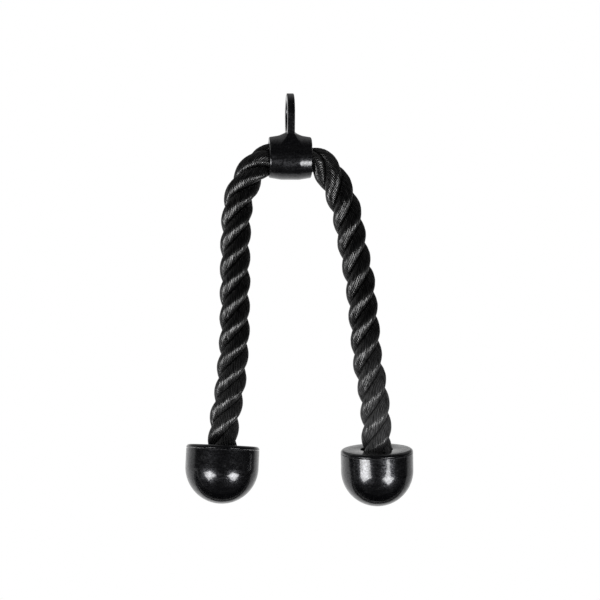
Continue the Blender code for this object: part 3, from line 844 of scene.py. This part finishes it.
# %% Cap and steel outlines
CAP_RADIUS = 0.0335
CAP_SIDE_HEIGHT = 0.0196
LID_THICKNESS = 0.0031
LID_RIM_ROUNDING = 0.0028
LID_HOLE_ROUNDING = 0.0008
LID_JOINT_ROUNDING = 0.0003
LID_HOLE_RADIUS = 0.0151
SPIGOT_DEPTH = 0.0035
CUP_EDGE_ROUNDING = 0.0005
POCKET_RADIUS = 0.0184
POCKET_SPARE_DEPTH = 0.0030
FIT_GAP = 0.0003
WASHER_THICKNESS = 0.0025
WASHER_EDGE = 0.0004
FERRULE_BORE = 0.0143
FERRULE_RADIUS = 0.0171
FERRULE_LENGTH = 0.0220
GROOVE_DEPTH = 0.0010
GROOVE_WIDTH = 0.0030
GROOVE_PLACE_SHARES = (0.30, 0.70)
# Width of the pale band at the cup's top edge: scuffed paint and a painted highlight.
SCUFF_AND_HIGHLIGHT_REACH = 0.0006
CAP_STEPS = 160
STEEL_STEPS = 96
SHARP_ANGLE = 40
SPIGOT_BOTTOM = -(LID_THICKNESS + SPIGOT_DEPTH)
WASHER_TOP = SPIGOT_BOTTOM - FIT_GAP
FERRULE_TOP = WASHER_TOP - WASHER_THICKNESS - FIT_GAP


def lid_outline():
    hole = (LID_HOLE_RADIUS + LID_HOLE_ROUNDING, -LID_HOLE_ROUNDING)
    rim = (CAP_RADIUS - LID_RIM_ROUNDING, -LID_RIM_ROUNDING)
    outline = arc(hole, (LID_HOLE_ROUNDING, LID_HOLE_ROUNDING), 180, 90, 6)
    outline += arc(rim, (LID_RIM_ROUNDING, LID_RIM_ROUNDING), 90, 0, 12)
    joint = (CAP_RADIUS - LID_JOINT_ROUNDING, -LID_THICKNESS + LID_JOINT_ROUNDING)
    outline += arc(joint, (LID_JOINT_ROUNDING, LID_JOINT_ROUNDING), 0, -90, 3)
    outline += [(POCKET_RADIUS - FIT_GAP, -LID_THICKNESS), (POCKET_RADIUS - FIT_GAP, SPIGOT_BOTTOM)]
    outline.append((LID_HOLE_RADIUS, SPIGOT_BOTTOM))
    return outline


def cup_outline():
    top = -LID_THICKNESS - FIT_GAP
    edge = (CAP_RADIUS - CUP_EDGE_ROUNDING, top - CUP_EDGE_ROUNDING)
    bottom = -(ROPE_END_PAST_LID + POCKET_SPARE_DEPTH)
    outline = [(0.0, bottom), (POCKET_RADIUS, bottom), (POCKET_RADIUS, top)]
    outline += arc(edge, (CUP_EDGE_ROUNDING, CUP_EDGE_ROUNDING), 90, 0, 4)
    wall = np.linspace(edge[1], edge[1] - 2 * SCUFF_AND_HIGHLIGHT_REACH, 5)[1:]
    outline += [(CAP_RADIUS, height) for height in wall]
    outline += arc((0.0, -CAP_SIDE_HEIGHT), (CAP_RADIUS, CAP_RADIUS), 0, -90, 48)
    outline[-1] = (0.0, -CAP_SIDE_HEIGHT - CAP_RADIUS)
    return outline


def washer_outline():
    outer = POCKET_RADIUS - FIT_GAP
    low = WASHER_TOP - WASHER_THICKNESS
    return [
        (FERRULE_BORE, WASHER_TOP), (outer - WASHER_EDGE, WASHER_TOP), (outer, WASHER_TOP - WASHER_EDGE),
        (outer, low + WASHER_EDGE), (outer - WASHER_EDGE, low), (FERRULE_BORE, low),
    ]


def ferrule_outline():
    bottom = FERRULE_TOP - FERRULE_LENGTH
    outline = [(FERRULE_BORE, FERRULE_TOP), (FERRULE_RADIUS, FERRULE_TOP)]
    for share in GROOVE_PLACE_SHARES:
        middle = FERRULE_TOP - FERRULE_LENGTH * share
        for place in np.linspace(-0.5, 0.5, 7):
            depth = GROOVE_DEPTH * math.cos(math.pi * place)
            outline.append((FERRULE_RADIUS - depth, middle - place * GROOVE_WIDTH))
    return outline + [(FERRULE_RADIUS, bottom), (FERRULE_BORE, bottom)]


def turned_piece(name, outline, steps, closed, side, material, body, node):
    joint = JOINTS[f"{side}_cap_spin"]
    maker = turned(outline, steps, closed)
    scuff_and_highlight = maker.verts.layers.float.new("scuff_and_highlight")
    # The cup's top edge gets a pale band: scuffed paint, and a painted highlight along the joint line.
    for vert in maker.verts:
        from_edge = abs(vert.co.z + LID_THICKNESS + FIT_GAP + CUP_EDGE_ROUNDING)
        vert[scuff_and_highlight] = max(0.0, 1.0 - from_edge / SCUFF_AND_HIGHLIGHT_REACH) if node.endswith("cup") else 0.0
    turn = Vector(joint["axis"]).to_track_quat("-Z", "Y").to_matrix().to_4x4()
    maker.transform(Matrix.Translation(Vector(joint["pos_m"])) @ turn)
    mesh = mesh_from(name, maker)
    mesh.set_sharp_from_angle(angle=math.radians(SHARP_ANGLE))
    add_piece(name, mesh, material, body, [node])


print("cap height in mm", round((CAP_SIDE_HEIGHT + CAP_RADIUS) * 1000, 1))

# %% [markdown]
# The caps are moulded in hard glossy plastic. The mould leaves the surface slightly wavy, and handling leaves
# specks and dull smears that mostly show where a lamp is reflected. All are noises at their own scale, from
# the same gloss as the collar's. The steel inside is zinc-plated, with a pattern of small crystals.

# %% Gloss and zinc materials


def zinc_material():
    material, nodes, links, shader = new_material("zinc_plated_steel", (0.56, 0.56, 0.54), 0.32, 1.0)
    where = add_node(nodes, "ShaderNodeTexCoord")
    spangle = add_node(nodes, "ShaderNodeTexVoronoi", Scale=500.0)
    links.new(where.outputs["Object"], spangle.inputs["Vector"])
    tint = add_node(nodes, "ShaderNodeValToRGB")
    tint.color_ramp.elements[0].color = (0.46, 0.46, 0.45, 1.0)
    tint.color_ramp.elements[1].color = (0.66, 0.66, 0.64, 1.0)
    links.new(spangle.outputs["Color"], tint.inputs["Fac"])
    links.new(tint.outputs["Color"], shader.inputs["Base Color"])
    return material


cap_gloss = gloss_material(
    "cap_black_gloss", colour=(0.0020, 0.0020, 0.0026), wave_scale=90.0, wave_depth=0.0006,
    peel_scale=900.0, peel_depth=0.00008, haze=(0.20, 0.36), skin=(0.03, 0.14),
)
zinc = zinc_material()
print("materials", cap_gloss.name, zinc.name)

# %% [markdown]
# A cap turns on its rope, so its cup and lid ride on the cap's body. The ferrule is crimped to the rope and
# carries the washer, so both ride on the limb.

# %% Turn the caps and the steel inside them


def add_cap(side):
    for name, outline, steps, closed, material, slot, body in (
        ("cap_cup", cup_outline(), CAP_STEPS, False, cap_gloss, "cap_gloss", "cap"),
        ("cap_lid", lid_outline(), CAP_STEPS, True, cap_gloss, "cap_gloss", "cap"),
        ("washer", washer_outline(), STEEL_STEPS, True, zinc, "zinc_steel", "limb"),
        ("ferrule", ferrule_outline(), STEEL_STEPS, True, zinc, "zinc_steel", "limb"),
    ):
        turned_piece(f"{side}_{name}_piece", outline, steps, closed, side, material, f"{side}_{body}",
                     f"{side}_{name}")


for side in ROUTES:
    add_cap(side)

# %% [markdown]
# The photograph has a white studio that ends just behind the object, and two softboxes in front that stand
# lower than it. Everything else in front is dark, which is what makes black gloss look black. The floor and
# the world are white for the camera. For reflections they are white only behind the object, and lamps light
# the rest. Two black strips under the caps, which only reflections see, keep most of the white floor out of
# the caps' undersides.

# %% Studio
FLOOR_Z = -1.75
FLOOR_HALF_SIZE = 30.0
SOFTBOX_DISTANCE = 1.80
SOFTBOX_SIZE = 0.90
SOFTBOX_ANGLES = {"left": (-44.0, -20.7, 41.8, 29.6), "right": (33.5, -25.7, 46.7, 57.5)}
SOFTBOX_RADIANCE = 8.2
SOFTBOX_EDGE_SHARE = 0.60
SOFTBOX_FADE = (0.12, 0.60)
WORLD_FILL = 0.35
REFLECTED_DARK = 0.02
REFLECTED_GREY = 0.32
REFLECTED_WHITE = 0.74
REFLECTED_CEILING = 0.22
WHITE_AXIS = (-0.17, 0.985, 0.0)
STUDIO_MIDDLE = Vector((0.0, 0.0, -0.20))
CARD_Z = -0.42
CARD_HALF_WIDTH = 0.60
CARD_STRIPS = ((-0.030, 0.0105), (0.0135, 0.034))


def white_behind(nodes, links, vector, starts):
    """How far behind the object a direction looks: -1 is straight in front of it and 1 straight behind."""
    away = add_node(nodes, "ShaderNodeVectorMath", operation="SUBTRACT")
    links.new(vector, away.inputs[0])
    away.inputs[1].default_value = starts
    direction = add_node(nodes, "ShaderNodeVectorMath", operation="NORMALIZE")
    links.new(away.outputs["Vector"], direction.inputs[0])
    depth = add_node(nodes, "ShaderNodeVectorMath", operation="DOT_PRODUCT")
    links.new(direction.outputs["Vector"], depth.inputs[0])
    depth.inputs[1].default_value = WHITE_AXIS
    return depth.outputs["Value"]


def white_ramp(nodes, links, depth, dark_until, grey_from):
    ramp = add_node(nodes, "ShaderNodeValToRGB")
    ramp.color_ramp.interpolation = "EASE"
    stops = ((dark_until, REFLECTED_DARK), (grey_from, REFLECTED_GREY), (1.0, REFLECTED_WHITE))
    ramp.color_ramp.elements.new(0.5)
    for element, (place, level) in zip(ramp.color_ramp.elements, stops):
        element.position = place
        element.color = (level, level, level, 1.0)
    links.new(depth, ramp.inputs["Fac"])
    return ramp.outputs["Color"]


def studio_strength(nodes, links, behind, other):
    """1 for the camera, the value behind for reflections, and other for the rest."""
    path = add_node(nodes, "ShaderNodeLightPath").outputs
    mirror = combined(nodes, links, "MAXIMUM", path["Is Glossy Ray"], path["Is Transmission Ray"])
    for_mirror = add_node(nodes, "ShaderNodeMix", data_type="FLOAT")
    links.new(mirror, for_mirror.inputs["Factor"])
    for_mirror.inputs["A"].default_value = other
    links.new(behind, for_mirror.inputs["B"])
    for_camera = add_node(nodes, "ShaderNodeMix", data_type="FLOAT")
    links.new(path["Is Camera Ray"], for_camera.inputs["Factor"])
    links.new(for_mirror.outputs["Result"], for_camera.inputs["A"])
    for_camera.inputs["B"].default_value = 1.0
    return for_camera.outputs["Result"]


def build_world():
    world = bpy.data.worlds.new("white_studio")
    scene.world = world
    world.use_nodes = True
    nodes, links = world.node_tree.nodes, world.node_tree.links
    background = nodes["Background"]
    background.inputs["Color"].default_value = (1.0, 1.0, 1.0, 1.0)
    where = add_node(nodes, "ShaderNodeTexCoord")
    split = add_node(nodes, "ShaderNodeSeparateXYZ")
    links.new(where.outputs["Generated"], split.inputs["Vector"])
    depth = white_behind(nodes, links, where.outputs["Generated"], (0.0, 0.0, 0.0))
    behind = white_ramp(nodes, links, depth, dark_until=0.23, grey_from=0.42)
    low = map_range(nodes, links, split.outputs["Z"], 0.10, 0.50, 1.0, 0.12, "SMOOTHSTEP")
    height = map_range(nodes, links, split.outputs["Z"], 0.2, 0.7, 0.0, 1.0)
    ceiling = map_range(nodes, links, depth, -0.3, 0.4, REFLECTED_DARK, REFLECTED_CEILING)
    whitest = combined(nodes, links, "MAXIMUM", combined(nodes, links, "MULTIPLY", behind, low),
                       combined(nodes, links, "MULTIPLY", height, ceiling))
    links.new(studio_strength(nodes, links, whitest, WORLD_FILL), background.inputs["Strength"])


def build_floor():
    maker = bmesh.new()
    bmesh.ops.create_grid(maker, x_segments=8, y_segments=8, size=FLOOR_HALF_SIZE)
    bmesh.ops.translate(maker, verts=maker.verts, vec=(0, 0, FLOOR_Z))
    floor = bpy.data.objects.new("studio_floor", mesh_from("studio_floor", maker))
    scene.collection.objects.link(floor)
    material, nodes, links, shader = new_material("studio_white", (0.82, 0.82, 0.82), 0.9)
    shader.inputs["Specular IOR Level"].default_value = 0.0
    where = add_node(nodes, "ShaderNodeTexCoord")
    depth = white_behind(nodes, links, where.outputs["Object"], STUDIO_MIDDLE)
    behind = white_ramp(nodes, links, depth, dark_until=0.0, grey_from=0.18)
    path = add_node(nodes, "ShaderNodeLightPath")
    glow = add_node(nodes, "ShaderNodeEmission")
    mirror_glow = add_node(nodes, "ShaderNodeEmission")
    links.new(behind, mirror_glow.inputs["Strength"])
    far = add_node(nodes, "ShaderNodeVectorMath", operation="LENGTH")
    links.new(where.outputs["Object"], far.inputs[0])
    share = map_range(nodes, links, far.outputs["Value"], 2.2, 4.5, 0.70, 1.0, "SMOOTHSTEP")
    for_camera = add_node(nodes, "ShaderNodeMixShader")
    seen = combined(nodes, links, "MULTIPLY", share, path.outputs["Is Camera Ray"])
    links.new(seen, for_camera.inputs["Fac"])
    links.new(shader.outputs["BSDF"], for_camera.inputs[1])
    links.new(glow.outputs["Emission"], for_camera.inputs[2])
    for_mirror = add_node(nodes, "ShaderNodeMixShader")
    links.new(path.outputs["Is Glossy Ray"], for_mirror.inputs["Fac"])
    links.new(for_camera.outputs["Shader"], for_mirror.inputs[1])
    links.new(mirror_glow.outputs["Emission"], for_mirror.inputs[2])
    links.new(for_mirror.outputs["Shader"], nodes["Material Output"].inputs["Surface"])
    floor.data.materials.append(material)
    floor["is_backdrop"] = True


def add_card(front, back):
    """A black strip that only reflections see, just below the caps."""
    maker = bmesh.new()
    bmesh.ops.create_grid(maker, x_segments=1, y_segments=1, size=0.5)
    bmesh.ops.scale(maker, verts=maker.verts, vec=(2 * CARD_HALF_WIDTH, back - front, 1.0))
    bmesh.ops.translate(maker, verts=maker.verts, vec=(0.0, (front + back) / 2, CARD_Z))
    card = bpy.data.objects.new("black_card", mesh_from("black_card", maker))
    scene.collection.objects.link(card)
    card.data.materials.append(new_material("card_black", (0.0, 0.0, 0.0), 1.0)[0])
    card.visible_camera = card.visible_diffuse = card.visible_shadow = False
    card.visible_transmission = card.visible_volume_scatter = False
    card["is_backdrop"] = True


def add_softbox(side):
    azimuth, height, tilt, roll = (math.radians(angle) for angle in SOFTBOX_ANGLES[side])
    away = Vector((
        math.sin(azimuth) * math.cos(height),
        -math.cos(azimuth) * math.cos(height),
        math.sin(height),
    ))
    data = bpy.data.lights.new(f"softbox_{side}", "AREA")
    data.shape = "RECTANGLE"
    data.size = SOFTBOX_SIZE
    data.size_y = SOFTBOX_SIZE
    data.energy = SOFTBOX_RADIANCE * math.pi * SOFTBOX_SIZE ** 2
    data.use_nodes = True
    nodes, links = data.node_tree.nodes, data.node_tree.links
    place = add_node(nodes, "ShaderNodeNewGeometry").outputs["Parametric"]
    from_middle = add_node(nodes, "ShaderNodeVectorMath", operation="DISTANCE")
    links.new(place, from_middle.inputs[0])
    from_middle.inputs[1].default_value = (0.5, 0.5, 0.0)
    distance = from_middle.outputs["Value"]
    fade = map_range(nodes, links, distance, *SOFTBOX_FADE, 1.0, SOFTBOX_EDGE_SHARE, "SMOOTHSTEP")
    links.new(fade, nodes["Emission"].inputs["Strength"])
    lamp = bpy.data.objects.new(f"softbox_{side}", data)
    lamp.location = STUDIO_MIDDLE + away * SOFTBOX_DISTANCE
    turn = Matrix.Rotation(tilt, 3, "X") @ Matrix.Rotation(roll, 3, "Z")
    lamp.rotation_euler = (away.to_track_quat("Z", "Y").to_matrix() @ turn).to_euler()
    lamp.visible_camera = False
    scene.collection.objects.link(lamp)
    print("softbox", side, round(data.energy, 1), "W")


build_world()
build_floor()
for strip in CARD_STRIPS:
    add_card(*strip)
for side in SOFTBOX_ANGLES:
    add_softbox(side)

# %% [markdown]
# Last, the box of the imported model and the box of what now shows are printed side by side.

# %% Print the sizes
scene_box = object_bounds()
sizes = {
    "cad": [list(map(float, corner)) for corner in cad_box],
    "scene": [list(map(float, corner)) for corner in scene_box],
}
for name, box in sizes.items():
    print(name, "box in mm", [round(value * 1000, 1) for corner in box for value in corner])
